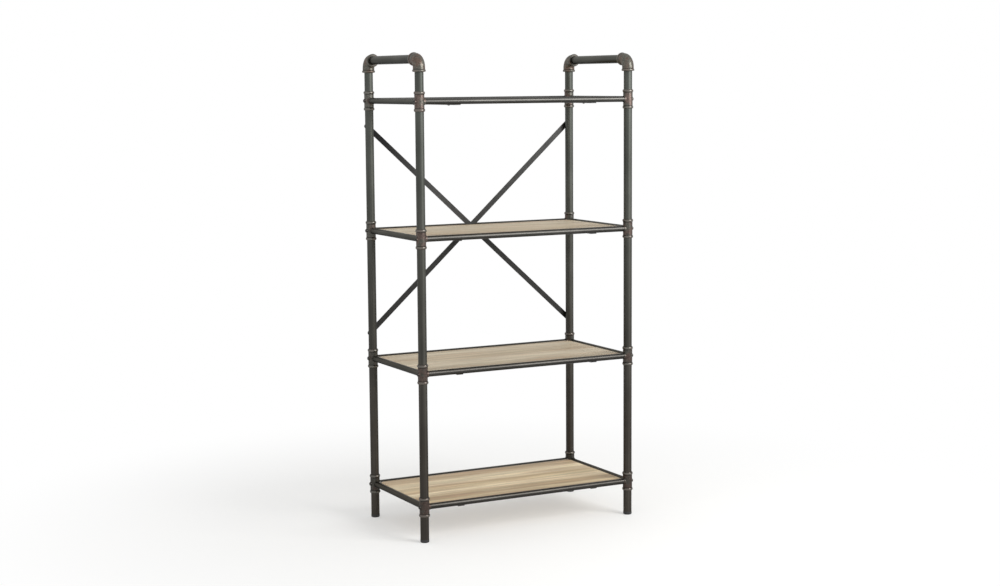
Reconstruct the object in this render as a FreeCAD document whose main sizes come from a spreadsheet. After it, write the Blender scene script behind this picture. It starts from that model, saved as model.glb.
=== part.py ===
import FreeCAD, Part
import os
import re

import Sketcher

# An etagere: four full-height tube posts, four rails and an oak board at each of four levels, a bent
# loop over each end frame and a flat-bar cross brace behind the rear posts.
# +Z is up, the front is -Y, and the origin lies on the floor midway between the four posts.
# Left is -X. Millimetres.

# Driving sizes, one plain number each
SIZES = {
    # the frame as a whole
    "post_pitch_width": 874,
    "post_pitch_depth": 445,
    "bottom_shelf_height": 132,
    "shelf_pitch": 492,
    "loop_rise": 151,
    # posts and the pipes of the end loops
    "post_diameter": 32,
    "post_wall": 1.5,
    # rails
    "rail_diameter": 22,
    "rail_wall": 1.5,
    # the radial room of every sleeve, socket, plug and stem
    "fit_clearance": 0.3,
    # cast sleeve fittings
    "sleeve_length": 72,
    "sleeve_wall": 1.8,
    "collar_lip": 2.4,
    "collar_height": 10.5,
    "outlet_stand": 2.7,
    "outlet_rim": 1.5,
    "outlet_bevel": 0.8,
    "spigot_length": 10,
    "spigot_bevel": 1,
    "bolt_seat_diameter": 15,
    "bolt_seat_stand": 1.1,
    # shelf bolts and the threaded plugs that take them
    "bolt_diameter": 8,
    "bolt_clearance": 0.3,
    "bolt_head_diameter": 13,
    "bolt_head_height": 3.2,
    "bolt_head_bevel": 1.2,
    "bolt_engagement": 20.5,
    "insert_length": 28,
    # cast corner elbows
    "elbow_reach": 45.5,
    "elbow_bend_radius": 30,
    "elbow_wall": 5.7,
    "elbow_socket_depth": 20,
    "elbow_stop_width": 2,
    "elbow_collar_lip": 2.5,
    "elbow_collar_height": 8.5,
    # foot glides
    "glide_height": 12,
    "glide_lip": 0.5,
    "glide_edge_radius": 4,
    "glide_stem_length": 18,
    "glide_stem_bevel": 1.5,
    # shelf boards
    "panel_thickness": 17,
    "panel_gap": 1.5,
    "panel_corner_clip": 16,
    "panel_arris": 1,
    # straps under each board
    "strap_width": 25,
    "strap_thickness": 3,
    "strap_spacing": 570,
    "panel_screw_spacing": 300,
    "panel_screw_diameter": 4,
    "panel_screw_clearance": 0.3,
    "panel_screw_length": 14,
    "panel_screw_head_diameter": 8,
    "panel_screw_head_height": 2.5,
    "panel_pilot_relief": 1,
    # cross brace
    "brace_width": 20,
    "brace_thickness": 4,
    "brace_inset": 98,
    "brace_end_length": 13,
    "brace_end_radius": 9,
    "brace_lap_clearance": 0.3,
    "brace_lap_length": 60,
    "brace_screw_diameter": 6,
    "brace_screw_clearance": 0.3,
    "brace_screw_head_diameter": 11,
    "brace_screw_head_height": 3,
    "brace_screw_head_bevel": 1,
    "brace_screw_grip": 9,
    "brace_rivet_head_height": 2,
    # how far every cut runs past the face that it opens
    "cut_overrun": 2,
}

LEVELS = ("bottom", "lower", "upper", "top")
CORNERS = {"left_front": (-1, -1), "right_front": (1, -1), "left_rear": (-1, 1), "right_rear": (1, 1)}
SIDES = {"left": -1, "right": 1}
TOP_SPACES = len(LEVELS) - 1

# Places and radii that follow from the driving sizes
POST_X = "(post_pitch_width / 2)"
POST_Y = "(post_pitch_depth / 2)"
TOP_SHELF_Z = f"(bottom_shelf_height + {TOP_SPACES} * shelf_pitch)"
LOOP_Z = f"({TOP_SHELF_Z} + loop_rise)"
POST_R = "(post_diameter / 2)"
POST_BORE_R = "(post_diameter / 2 - post_wall)"
STOP_REACH = "(elbow_reach - elbow_socket_depth)"
RAIL_R = "(rail_diameter / 2)"
RAIL_BORE_R = "(rail_diameter / 2 - rail_wall)"
PLUG_R = f"({RAIL_BORE_R} - fit_clearance)"
SOCKET_R = f"({POST_R} + fit_clearance)"
SLEEVE_R = f"({SOCKET_R} + sleeve_wall)"
COLLAR_R = f"({SLEEVE_R} + collar_lip)"
OUTLET_R = f"({RAIL_R} + outlet_rim)"
OUTLET_REACH = f"({SLEEVE_R} + outlet_stand)"
BOLT_SEAT_REACH = f"({SLEEVE_R} + bolt_seat_stand)"
BOLT_HOLE_R = "(bolt_diameter / 2 + bolt_clearance)"
ELBOW_R = f"({SOCKET_R} + elbow_wall)"
ELBOW_BORE_R = f"({POST_R} - elbow_stop_width)"
ELBOW_COLLAR_R = f"({ELBOW_R} + elbow_collar_lip)"
PANEL_X = f"({POST_X} - {RAIL_R} - panel_gap)"
PANEL_Y = f"({POST_Y} - {RAIL_R} - panel_gap)"
STRAP_X = "(strap_spacing / 2)"
PANEL_SCREW_Y = "(panel_screw_spacing / 2)"
PANEL_SCREW_HOLE_R = "(panel_screw_diameter / 2 + panel_screw_clearance)"
BRACE_RISE = "(2 * shelf_pitch - 2 * brace_inset)"
BRACE_MID_Z = "(bottom_shelf_height + 2 * shelf_pitch)"
BRACE_SPAN = f"sqrt(post_pitch_width ^ 2 + {BRACE_RISE} ^ 2)"
BRACE_HOLE_R = "(brace_screw_diameter / 2 + brace_screw_clearance)"
LAP_LIFT = "(brace_thickness + brace_lap_clearance)"

doc = FreeCAD.newDocument("Etagere")


def fill_sheet():
    """The spreadsheet of driving sizes: a name and a plain number in each row."""
    sheet = doc.addObject("Spreadsheet::Sheet", "Sizes")
    for row, (alias, number) in enumerate(SIZES.items(), start=1):
        sheet.set(f"A{row}", alias)
        sheet.set(f"B{row}", str(number))
        sheet.setAlias(f"B{row}", alias)
    doc.recompute()
    return sheet


sizes = fill_sheet()


def bound(text):
    """The expression with each size's name pointed at the sheet."""
    return re.sub(r"[a-z]\w*", lambda word: f"Sizes.{word[0]}" if word[0] in SIZES else word[0], text)


def number(text):
    """What an expression gives with the present sizes."""
    return float(sizes.evalExpression(bound(text)))


def level_z(level):
    """The height of a level's rails."""
    return f"(bottom_shelf_height + {LEVELS.index(level)} * shelf_pitch)"


# Bodies and sketches

def new_body(label, x="0", y="0", z="0"):
    """A body under the piece's own name, its origin bound to the sheet."""
    body = doc.addObject("PartDesign::Body", label)
    body.Label = label
    body.AllowCompound = True
    for axis, text in zip("xyz", (x, y, z)):
        body.setExpression(f"Placement.Base.{axis}", bound(text))
    return body


def datum(body, role):
    """One of the body's own origin planes or axes."""
    return next(item for item in body.Origin.OriginFeatures if item.Role == role)


def new_sketch(body, name, role, lift="0"):
    """An empty sketch on an origin plane of the body, lifted along that plane's normal."""
    sketch = body.newObject("Sketcher::SketchObject", name)
    sketch.AttachmentSupport = [(datum(body, role), "")]
    sketch.MapMode = "FlatFace"
    sketch.setExpression("AttachmentOffset.Base.z", bound(lift))
    return sketch


def bind(sketch, constraint, text):
    """Add one dimension and tie it to the sheet."""
    index = sketch.addConstraint(Sketcher.Constraint(*constraint, number(text)))
    sketch.setExpression(f"Constraints[{index}]", bound(text))


def pin(sketch, geometry, point, x, y):
    """Tie a sketch point's place to the sheet; a bare 0 puts it on the axis itself."""
    for kind, axis, text in (("DistanceX", -2, x), ("DistanceY", -1, y)):
        if text == "0":
            sketch.addConstraint(Sketcher.Constraint("PointOnObject", geometry, point, axis))
        else:
            bind(sketch, (kind, -1, 1, geometry, point), text)


def draw_outline(sketch, corners, beads=()):
    """A closed outline through corners bound to the sheet, straight but for its beads.

    A bead is the number of its first corner, the point of its crown and its radius.
    """
    crowns = {index: (crown, radius) for index, crown, radius in beads}
    count = len(corners)
    points = [FreeCAD.Vector(number(x), number(y), 0) for x, y in corners]
    ends = []
    for index in range(count):
        start, end = points[index], points[(index + 1) % count]
        if index in crowns:
            crown, radius = crowns[index]
            middle = FreeCAD.Vector(number(crown[0]), number(crown[1]), 0)
            side = sketch.addGeometry(Part.Arc(start, middle, end), False)
        else:
            side = sketch.addGeometry(Part.LineSegment(start, end), False)
        begun, done = (sketch.getPoint(side, point).distanceToPoint(start) for point in (1, 2))
        ends.append((side, 1, 2) if begun < done else (side, 2, 1))
    for index in range(count):
        side, _, last = ends[index]
        following, first, _ = ends[(index + 1) % count]
        sketch.addConstraint(Sketcher.Constraint("Coincident", side, last, following, first))
    for (side, first, _), (x, y) in zip(ends, corners):
        pin(sketch, side, first, x, y)
    for index, (_, radius) in crowns.items():
        bind(sketch, ("Radius", ends[index][0]), radius)


def draw_circle(sketch, x, y, radius):
    """A circle with its centre and radius bound to the sheet."""
    centre = FreeCAD.Vector(number(x), number(y), 0)
    index = sketch.addGeometry(Part.Circle(centre, FreeCAD.Vector(0, 0, 1), number(radius)), False)
    pin(sketch, index, 3, x, y)
    bind(sketch, ("Radius", index), radius)


def draw_ring(sketch, outer, inner):
    """Two circles about the sketch's origin."""
    draw_circle(sketch, "0", "0", outer)
    draw_circle(sketch, "0", "0", inner)


def draw_axis(sketch, start, end):
    """A construction line that a turned feature goes round."""
    ends = [FreeCAD.Vector(number(x), number(y), 0) for x, y in (start, end)]
    index = sketch.addGeometry(Part.LineSegment(*ends), True)
    for point, (x, y) in zip((1, 2), (start, end)):
        pin(sketch, index, point, x, y)


# Features

def pad(body, name, sketch, length, reverse=False, symmetric=False):
    """Draw the sketch out by a bound length."""
    feature = body.newObject("PartDesign::Pad", name)
    feature.Profile = sketch
    feature.setExpression("Length", bound(length))
    feature.Reversed = reverse
    feature.SideType = "Symmetric" if symmetric else "One side"
    return feature


def pocket(body, name, sketch, length, reverse=False, symmetric=False):
    """Cut the sketch into the body by a bound length."""
    feature = body.newObject("PartDesign::Pocket", name)
    feature.Profile = sketch
    feature.setExpression("Length", bound(length))
    feature.Reversed = reverse
    feature.SideType = "Symmetric" if symmetric else "One side"
    return feature


def turn(body, name, sketch, axis, kind="Revolution", angle=360, reverse=False):
    """Turn the sketch round one of its own axes, as a solid or as a groove."""
    feature = body.newObject(f"PartDesign::{kind}", name)
    feature.Profile = sketch
    feature.ReferenceAxis = (sketch, [axis])
    feature.Angle = angle
    feature.Reversed = reverse
    return feature


def row_of(body, name, feature, role, spacing, count):
    """Repeat a feature along an origin axis at a bound spacing."""
    pattern = body.newObject("PartDesign::LinearPattern", name)
    pattern.Originals = [feature]
    pattern.Direction = (datum(body, role), [""])
    pattern.Mode = "Spacing"
    pattern.setExpression("Offset", bound(spacing))
    pattern.Occurrences = count
    body.Tip = pattern
    return pattern


def repeat(body, feature, mirrors=(), spacing=None, count=1):
    """Repeat a feature across the given origin planes, then up the posts."""
    group = body.newObject("PartDesign::MultiTransform", f"{feature.Name}Places")
    steps = []
    for role in mirrors:
        mirror = body.newObject("PartDesign::Mirrored", f"{feature.Name}Across{role[:2]}")
        mirror.MirrorPlane = (datum(body, role), [""])
        steps.append(mirror)
    if count > 1:
        column = body.newObject("PartDesign::LinearPattern", f"{feature.Name}Column")
        column.Direction = (datum(body, "Z_Axis"), [""])
        column.Mode = "Spacing"
        column.setExpression("Offset", bound(spacing))
        column.Occurrences = count
        steps.append(column)
    group.Originals = [feature]
    group.Transformations = steps
    body.Tip = group
    return group


def edges_where(feature, test):
    """The names of a feature's edges whose middle and direction pass a test."""
    doc.recompute()
    names = []
    for index, edge in enumerate(feature.Shape.Edges, start=1):
        box = edge.BoundBox
        if test(box):
            names.append(f"Edge{index}")
    return names


def dress(body, kind, name, feature, edges, size_name, text):
    """Round or bevel some edges of a feature by a bound size."""
    dressing = body.newObject(f"PartDesign::{kind}", name)
    dressing.Base = (feature, edges)
    dressing.setExpression(size_name, bound(text))
    return dressing


def signed(sign, text):
    """An expression on the chosen side of zero."""
    return text if sign > 0 else f"-{text}"


# Posts

def make_post(corner):
    """A tube from the glide's flange to the elbow's stop, drilled for the bolts and the brace."""
    side, depth = CORNERS[corner]
    body = new_body(f"post_{corner}", signed(side, POST_X), signed(depth, POST_Y))
    section = new_sketch(body, "TubeSection", "XY_Plane", "glide_height")
    draw_ring(section, POST_R, POST_BORE_R)
    pad(body, "Tube", section, f"{LOOP_Z} - {STOP_REACH} - glide_height")
    bolt_hole = new_sketch(body, "BoltHole", "YZ_Plane")
    draw_circle(bolt_hole, "0", "bottom_shelf_height", BOLT_HOLE_R)
    drilled = pocket(body, "BoltHoles", bolt_hole, "post_diameter + 2 * cut_overrun", symmetric=True)
    row_of(body, "BoltHoleRow", drilled, "Z_Axis", "shelf_pitch", len(LEVELS))
    if depth > 0:
        brace_hole = new_sketch(body, "BraceHole", "XZ_Plane")
        for sign in (-1, 1):
            height = f"({BRACE_MID_Z} + {sign} * {BRACE_RISE} / 2)"
            draw_circle(brace_hole, "0", height, BRACE_HOLE_R)
        body.Tip = pocket(body, "BraceHoles", brace_hole, f"{POST_R} + cut_overrun")
    return body


def make_glide(corner):
    """A moulded foot: a rounded cap under the post and a stem up its bore."""
    side, depth = CORNERS[corner]
    body = new_body(f"foot_glide_{corner}", signed(side, POST_X), signed(depth, POST_Y))
    stem_r = f"({POST_BORE_R} - fit_clearance)"
    cap_r = f"({POST_R} + glide_lip)"
    stem_top = "(glide_height + glide_stem_length)"
    section = new_sketch(body, "GlideSection", "XZ_Plane")
    draw_outline(section, [
        ("0", "0"),
        (cap_r, "0"),
        (cap_r, "glide_height"),
        (stem_r, "glide_height"),
        (stem_r, f"{stem_top} - glide_stem_bevel"),
        (f"{stem_r} - glide_stem_bevel", stem_top),
        ("0", stem_top),
    ])
    turned = turn(body, "Moulding", section, "V_Axis")
    flat = number("cut_overrun")
    rim = edges_where(turned, lambda box: box.ZMax < flat and box.XLength > flat)
    dress(body, "Fillet", "FootRound", turned, rim, "Radius", "glide_edge_radius")
    return body


# Cast sleeve fittings at each shelf corner

def bead_radius(lip, height):
    """The radius of a bead that stands out by its lip over its height."""
    return f"(({height} ^ 2 / 4 + {lip} ^ 2) / (2 * {lip}))"


def draw_sleeve(sketch):
    """Half the sleeve's outline, bottom to top: a plain barrel with a round bead at each end."""
    half = "(sleeve_length / 2)"
    corners = [
        ("0", f"-{half}"),
        (SLEEVE_R, f"-{half}"),
        (SLEEVE_R, f"(collar_height - {half})"),
        (SLEEVE_R, f"({half} - collar_height)"),
        (SLEEVE_R, half),
        ("0", half),
    ]
    radius = bead_radius("collar_lip", "collar_height")
    beads = [
        (1, (COLLAR_R, f"(collar_height / 2 - {half})"), radius),
        (3, (COLLAR_R, f"({half} - collar_height / 2)"), radius),
    ]
    draw_outline(sketch, corners, beads)


def make_outlet(body, name, role, axis, sign, spigot):
    """A round outlet with a flat seat for a rail's end, with or without a spigot for its bore."""
    reach = OUTLET_REACH
    profile = [
        ("0", "0"),
        ("0", OUTLET_R),
        (f"({reach} - outlet_bevel)", OUTLET_R),
        (reach, f"({OUTLET_R} - outlet_bevel)"),
    ]
    if spigot:
        tip = f"({reach} + spigot_length)"
        profile += [
            (reach, PLUG_R),
            (f"({tip} - spigot_bevel)", PLUG_R),
            (tip, f"({PLUG_R} - spigot_bevel)"),
            (tip, "0"),
        ]
    else:
        profile.append((reach, "0"))
    if axis == "V_Axis":
        corners = [(radius, signed(sign, along) if along != "0" else "0") for along, radius in profile]
    else:
        corners = [(signed(sign, along) if along != "0" else "0", radius) for along, radius in profile]
    section = new_sketch(body, f"{name}Section", role)
    draw_outline(section, corners)
    return turn(body, name, section, axis)


def make_fitting(level, corner):
    """A sleeve round the post: rail outlets on two sides and a bolt seat on the outer side."""
    side, depth = CORNERS[corner]
    place = (signed(side, POST_X), signed(depth, POST_Y), level_z(level))
    body = new_body(f"fitting_{level}_{corner}", *place)
    barrel = new_sketch(body, "SleeveSection", "XZ_Plane")
    draw_sleeve(barrel)
    turn(body, "Sleeve", barrel, "V_Axis")
    make_outlet(body, "BoltedOutlet", "XY_Plane", "H_Axis", -side, spigot=False)
    make_outlet(body, "SpigotOutlet", "XY_Plane", "V_Axis", -depth, spigot=True)
    seat = new_sketch(body, "BoltSeatSection", "YZ_Plane")
    draw_circle(seat, "0", "0", "bolt_seat_diameter / 2")
    pad(body, "BoltSeat", seat, BOLT_SEAT_REACH, reverse=side < 0)
    bore = new_sketch(body, "BoreSection", "XY_Plane")
    draw_circle(bore, "0", "0", SOCKET_R)
    pocket(body, "Bore", bore, "sleeve_length + 2 * cut_overrun", symmetric=True)
    hole = new_sketch(body, "BoltHole", "YZ_Plane")
    draw_circle(hole, "0", "0", BOLT_HOLE_R)
    pocket(body, "BoltWay", hole, f"2 * {OUTLET_REACH} + 2 * cut_overrun", symmetric=True)
    return body


# Cast elbows and the pipes between them

def make_bend(body, name, kind, radius, sign):
    """A quarter turn of a round section, from the post's line to the loop pipe's."""
    section = new_sketch(body, f"{name}Section", "XY_Plane", "-elbow_bend_radius")
    draw_circle(section, "0", "0", radius)
    line = signed(sign, "elbow_bend_radius")
    draw_axis(section, (f"-{radius}", line), (radius, line))
    return turn(body, name, section, "Axis0", kind, angle=90, reverse=sign > 0)


def draw_arm(sketch, placed):
    """Half the outline of an elbow's arm, from the bend's end outward to the bead at its mouth.

    The given function turns a length along the arm and a radius into a place on the sketch.
    """
    root = "elbow_bend_radius"
    mouth = "elbow_reach"
    shoulder = f"({mouth} - elbow_collar_height)"
    corners = [(root, "0"), (root, ELBOW_R), (shoulder, ELBOW_R), (mouth, ELBOW_R), (mouth, "0")]
    crown = placed(f"({mouth} - elbow_collar_height / 2)", ELBOW_COLLAR_R)
    bead = (2, crown, bead_radius("elbow_collar_lip", "elbow_collar_height"))
    draw_outline(sketch, [placed(along, radius) for along, radius in corners], [bead])


def make_elbow(corner):
    """A hollow casting: two beaded arms on a quarter bend, each with a socket and a stop."""
    side, depth = CORNERS[corner]
    inward = -depth
    body = new_body(f"elbow_{corner}", signed(side, POST_X), signed(depth, POST_Y), LOOP_Z)
    make_bend(body, "Bend", "Revolution", ELBOW_R, inward)
    down = new_sketch(body, "DownArmSection", "XZ_Plane")
    draw_arm(down, lambda along, radius: (radius, f"-{along}"))
    turn(body, "DownArm", down, "V_Axis")
    across = new_sketch(body, "AcrossArmSection", "YZ_Plane")
    draw_arm(across, lambda along, radius: (signed(inward, along), radius))
    turn(body, "AcrossArm", across, "H_Axis")
    make_bend(body, "BendBore", "Groove", ELBOW_BORE_R, inward)
    depth_cut = "elbow_socket_depth + cut_overrun"
    lower = new_sketch(body, "LowerSocketSection", "XY_Plane", f"-{STOP_REACH}")
    draw_circle(lower, "0", "0", SOCKET_R)
    pocket(body, "LowerSocket", lower, depth_cut)
    upper = new_sketch(body, "UpperSocketSection", "XZ_Plane", signed(-inward, STOP_REACH))
    draw_circle(upper, "0", "0", SOCKET_R)
    pocket(body, "UpperSocket", upper, depth_cut, reverse=inward < 0)
    return body


def make_loop_pipe(side):
    """The level pipe between the two elbows of an end frame."""
    body = new_body(f"loop_pipe_{side}", signed(SIDES[side], POST_X), "0", LOOP_Z)
    section = new_sketch(body, "TubeSection", "XZ_Plane")
    draw_ring(section, POST_R, POST_BORE_R)
    pad(body, "Tube", section, f"post_pitch_depth - 2 * {STOP_REACH}", symmetric=True)
    return body


# Rails

def make_long_rail(edge, depth, level):
    """A tube across the front or the back, its ends square on the outlets' seats."""
    body = new_body(f"{edge}_rail_{level}", "0", signed(depth, POST_Y), level_z(level))
    section = new_sketch(body, "TubeSection", "YZ_Plane")
    draw_ring(section, RAIL_R, RAIL_BORE_R)
    pad(body, "Tube", section, f"post_pitch_width - 2 * {OUTLET_REACH}", symmetric=True)
    return body


def make_side_rail(side, level):
    """A tube from the front post to the rear post, over the two spigots."""
    body = new_body(f"side_rail_{level}_{side}", signed(SIDES[side], POST_X), "0", level_z(level))
    section = new_sketch(body, "TubeSection", "XZ_Plane")
    draw_ring(section, RAIL_R, RAIL_BORE_R)
    pad(body, "Tube", section, f"post_pitch_depth - 2 * {OUTLET_REACH}", symmetric=True)
    return body


# Boards and straps

def panel_outline():
    """The board's outline with each corner clipped at 45 degrees to clear the collars."""
    long_x = f"({PANEL_X} - panel_corner_clip)"
    long_y = f"({PANEL_Y} - panel_corner_clip)"
    return [
        (f"-{long_x}", f"-{PANEL_Y}"),
        (long_x, f"-{PANEL_Y}"),
        (PANEL_X, f"-{long_y}"),
        (PANEL_X, long_y),
        (long_x, PANEL_Y),
        (f"-{long_x}", PANEL_Y),
        (f"-{PANEL_X}", long_y),
        (f"-{PANEL_X}", f"-{long_y}"),
    ]


def make_panel(level):
    """An oak board that lies on the straps between the rails, with its top arris taken off."""
    body = new_body(f"shelf_panel_{level}", z=f"{level_z(level)} - {RAIL_R}")
    outline = new_sketch(body, "BoardOutline", "XY_Plane")
    draw_outline(outline, panel_outline())
    board = pad(body, "Board", outline, "panel_thickness")
    middle = number("panel_thickness / 2")
    rim = edges_where(board, lambda box: box.ZMin > middle)
    dress(body, "Chamfer", "TopArris", board, rim, "Size", "panel_arris")
    pilots = new_sketch(body, "PilotHoles", "XY_Plane")
    for x, y in screw_places():
        draw_circle(pilots, x, y, PANEL_SCREW_HOLE_R)
    pilot_depth = "panel_screw_length - strap_thickness + panel_pilot_relief"
    pocket(body, "Pilots", pilots, pilot_depth, reverse=True)
    return body


def screw_places():
    """Where the screws go up through the straps, seen from above."""
    return [(signed(right, STRAP_X), signed(rear, PANEL_SCREW_Y)) for right in (-1, 1) for rear in (-1, 1)]


def make_straps(level):
    """Two flat bars from the front rail to the rear rail, tangent under them."""
    body = new_body(f"shelf_straps_{level}", z=f"{level_z(level)} - {RAIL_R}")
    outline = new_sketch(body, "StrapOutlines", "XY_Plane")
    for sign in (-1, 1):
        near = f"({sign} * {STRAP_X} - strap_width / 2)"
        far = f"({sign} * {STRAP_X} + strap_width / 2)"
        corners = [(near, f"-{POST_Y}"), (far, f"-{POST_Y}"), (far, POST_Y), (near, POST_Y)]
        draw_outline(outline, corners)
    pad(body, "Bars", outline, "strap_thickness", reverse=True)
    holes = new_sketch(body, "ScrewHoles", "XY_Plane")
    for x, y in screw_places():
        draw_circle(holes, x, y, PANEL_SCREW_HOLE_R)
    pocket(body, "ScrewWays", holes, "2 * strap_thickness + 2 * cut_overrun", symmetric=True)
    return body


# Cross brace

def brace_outline(lift):
    """A bar seen along its edge: flat at both posts and raised at the crossing by the given lift."""
    end = f"({BRACE_SPAN} / 2 + brace_end_length)"
    root = f"({BRACE_SPAN} / 2 - brace_end_length)"
    lap = "(brace_lap_length / 2)"
    inner = [(f"-{end}", "0"), (f"-{root}", "0"), (f"-{lap}", lift), (lap, lift), (root, "0"), (end, "0")]
    if lift == "0":
        inner = [(f"-{end}", "0"), (end, "0")]
    outer = [(x, f"({y} + brace_thickness)") for x, y in reversed(inner)]
    return inner + outer


def make_brace_bar(name, rise_sign, lift):
    """A flat bar with rounded ends behind the rear posts, on the slope between its two screws."""
    body = new_body(name, "0", f"{POST_Y} + {POST_R}", BRACE_MID_Z)
    body.Placement.Rotation = FreeCAD.Rotation(FreeCAD.Vector(0, -1, 0), 1)
    slope = f"{rise_sign} * atan({BRACE_RISE} / post_pitch_width)"
    body.setExpression("Placement.Rotation.Angle", bound(slope))
    edge_on = new_sketch(body, "BarOutline", "XY_Plane")
    draw_outline(edge_on, brace_outline(lift))
    bar = pad(body, "Bar", edge_on, "brace_width", symmetric=True)
    tip = number(f"{BRACE_SPAN} / 2")
    corners = edges_where(bar, lambda box: abs(box.Center.x) > tip and box.XLength + box.ZLength < box.YLength)
    dress(body, "Fillet", "RoundEnds", bar, corners, "Radius", "brace_end_radius")
    holes = new_sketch(body, "ScrewHoles", "XZ_Plane")
    for x in (f"-{BRACE_SPAN} / 2", "0", f"{BRACE_SPAN} / 2"):
        draw_circle(holes, x, "0", BRACE_HOLE_R)
    through = f"2 * ({LAP_LIFT} + brace_thickness + cut_overrun)"
    pocket(body, "ScrewWays", holes, through, symmetric=True)
    return body


# Fasteners: what is alike shares one node, a solid each

def make_shelf_bolts():
    """Button-head bolts through sleeve and post into the ends of the front and rear rails."""
    body = new_body("shelf_bolts", "0", "0", "0")
    seat = f"({POST_X} + {BOLT_SEAT_REACH})"
    crown = f"({seat} + bolt_head_height)"
    tip = f"({POST_X} - {OUTLET_REACH} - bolt_engagement)"
    base = new_sketch(body, "BoltSection", "XY_Plane", "bottom_shelf_height")
    line = POST_Y
    draw_outline(base, [
        (tip, line),
        (crown, line),
        (crown, f"({line} + bolt_head_diameter / 2 - bolt_head_bevel)"),
        (f"({crown} - bolt_head_bevel)", f"({line} + bolt_head_diameter / 2)"),
        (seat, f"({line} + bolt_head_diameter / 2)"),
        (seat, f"({line} + bolt_diameter / 2)"),
        (tip, f"({line} + bolt_diameter / 2)"),
    ])
    draw_axis(base, (tip, line), (crown, line))
    bolt = turn(body, "Bolt", base, "Axis0")
    repeat(body, bolt, ("YZ_Plane", "XZ_Plane"), "shelf_pitch", len(LEVELS))
    return body


def make_rail_inserts():
    """Threaded plugs flush with the ends of the front and rear rails."""
    body = new_body("rail_inserts")
    end = f"({POST_X} - {OUTLET_REACH})"
    section = new_sketch(body, "PlugSection", "YZ_Plane", end)
    draw_circle(section, POST_Y, "bottom_shelf_height", PLUG_R)
    draw_circle(section, POST_Y, "bottom_shelf_height", BOLT_HOLE_R)
    plug = pad(body, "Plug", section, "insert_length", reverse=True)
    repeat(body, plug, ("YZ_Plane", "XZ_Plane"), "shelf_pitch", len(LEVELS))
    return body


def make_panel_screws():
    """Pan-head screws up through the straps into the boards."""
    body = new_body("panel_screws")
    x = STRAP_X
    seat = f"(bottom_shelf_height - {RAIL_R} - strap_thickness)"
    section = new_sketch(body, "ScrewSection", "XZ_Plane", f"-{PANEL_SCREW_Y}")
    draw_outline(section, [
        (x, f"({seat} - panel_screw_head_height)"),
        (f"({x} + panel_screw_head_diameter / 2)", f"({seat} - panel_screw_head_height)"),
        (f"({x} + panel_screw_head_diameter / 2)", seat),
        (f"({x} + panel_screw_diameter / 2)", seat),
        (f"({x} + panel_screw_diameter / 2)", f"({seat} + panel_screw_length)"),
        (x, f"({seat} + panel_screw_length)"),
    ])
    draw_axis(section, (x, seat), (x, f"({seat} + panel_screw_length)"))
    screw = turn(body, "Screw", section, "Axis0")
    repeat(body, screw, ("YZ_Plane", "XZ_Plane"), "shelf_pitch", len(LEVELS))
    return body


def make_brace_fixings():
    """Four screws into the rear walls of the posts and a rivet where the bars cross."""
    body = new_body("brace_fixings", "0", f"{POST_Y} + {POST_R}", BRACE_MID_Z)
    shank = "(brace_screw_diameter / 2)"
    head = "(brace_screw_head_diameter / 2)"
    crown = "(brace_thickness + brace_screw_head_height)"
    height = f"({BRACE_RISE} / 2)"
    section = new_sketch(body, "ScrewSection", "XY_Plane", height)
    draw_outline(section, [
        (POST_X, "-brace_screw_grip"),
        (f"({POST_X} + {shank})", "-brace_screw_grip"),
        (f"({POST_X} + {shank})", "brace_thickness"),
        (f"({POST_X} + {head})", "brace_thickness"),
        (f"({POST_X} + {head})", f"({crown} - brace_screw_head_bevel)"),
        (f"({POST_X} + {head} - brace_screw_head_bevel)", crown),
        (POST_X, crown),
    ])
    draw_axis(section, (POST_X, "-brace_screw_grip"), (POST_X, crown))
    screw = turn(body, "Screw", section, "Axis0")
    repeat(body, screw, ("YZ_Plane", "XY_Plane"))
    far = f"({LAP_LIFT} + brace_thickness)"
    tail = "brace_rivet_head_height"
    rivet = new_sketch(body, "RivetSection", "XY_Plane")
    draw_outline(rivet, [
        ("0", f"-{tail}"),
        (head, f"-{tail}"),
        (head, "0"),
        (shank, "0"),
        (shank, far),
        (head, far),
        (head, f"({far} + {tail})"),
        ("0", f"({far} + {tail})"),
    ])
    body.Tip = turn(body, "Rivet", rivet, "V_Axis")
    return body


def make_pieces():
    """Every piece of the etagere, in the order in which it goes together."""
    pieces = []
    for corner in CORNERS:
        pieces.append(make_glide(corner))
        pieces.append(make_post(corner))
        pieces.append(make_elbow(corner))
        pieces.extend(make_fitting(level, corner) for level in LEVELS)
    for side in SIDES:
        pieces.append(make_loop_pipe(side))
        pieces.extend(make_side_rail(side, level) for level in LEVELS)
    for level in LEVELS:
        pieces.append(make_long_rail("front", -1, level))
        pieces.append(make_long_rail("rear", 1, level))
        pieces.append(make_straps(level))
        pieces.append(make_panel(level))
    pieces.append(make_brace_bar("brace_bar_front", 1, "0"))
    pieces.append(make_brace_bar("brace_bar_rear", -1, LAP_LIFT))
    pieces.append(make_brace_fixings())
    pieces.append(make_rail_inserts())
    pieces.append(make_shelf_bolts())
    pieces.append(make_panel_screws())
    return pieces


def check(pieces):
    """Stop if anything failed to build or left a bad shape."""
    failed = [item.Name for item in doc.Objects if {"Invalid", "Error"} & set(item.State)]
    broken = [piece.Label for piece in pieces if piece.Shape.isNull() or not piece.Shape.isValid()]
    if failed or broken:
        raise RuntimeError(f"failed: {failed}; bad shapes: {broken}")


def write(pieces):
    """One file for each piece, under its own name."""
    os.makedirs("parts", exist_ok=True)
    for piece in pieces:
        piece.Shape.exportStep(os.path.join("parts", f"{piece.Label}.step"))
        print(piece.Label, len(piece.Shape.Solids), round(piece.Shape.Volume))


all_pieces = make_pieces()
doc.recompute()
check(all_pieces)
write(all_pieces)
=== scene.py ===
import logging
import math
from dataclasses import dataclass, field, replace
from enum import Enum

import bpy
from mathutils import Euler, Matrix, Vector


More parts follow.
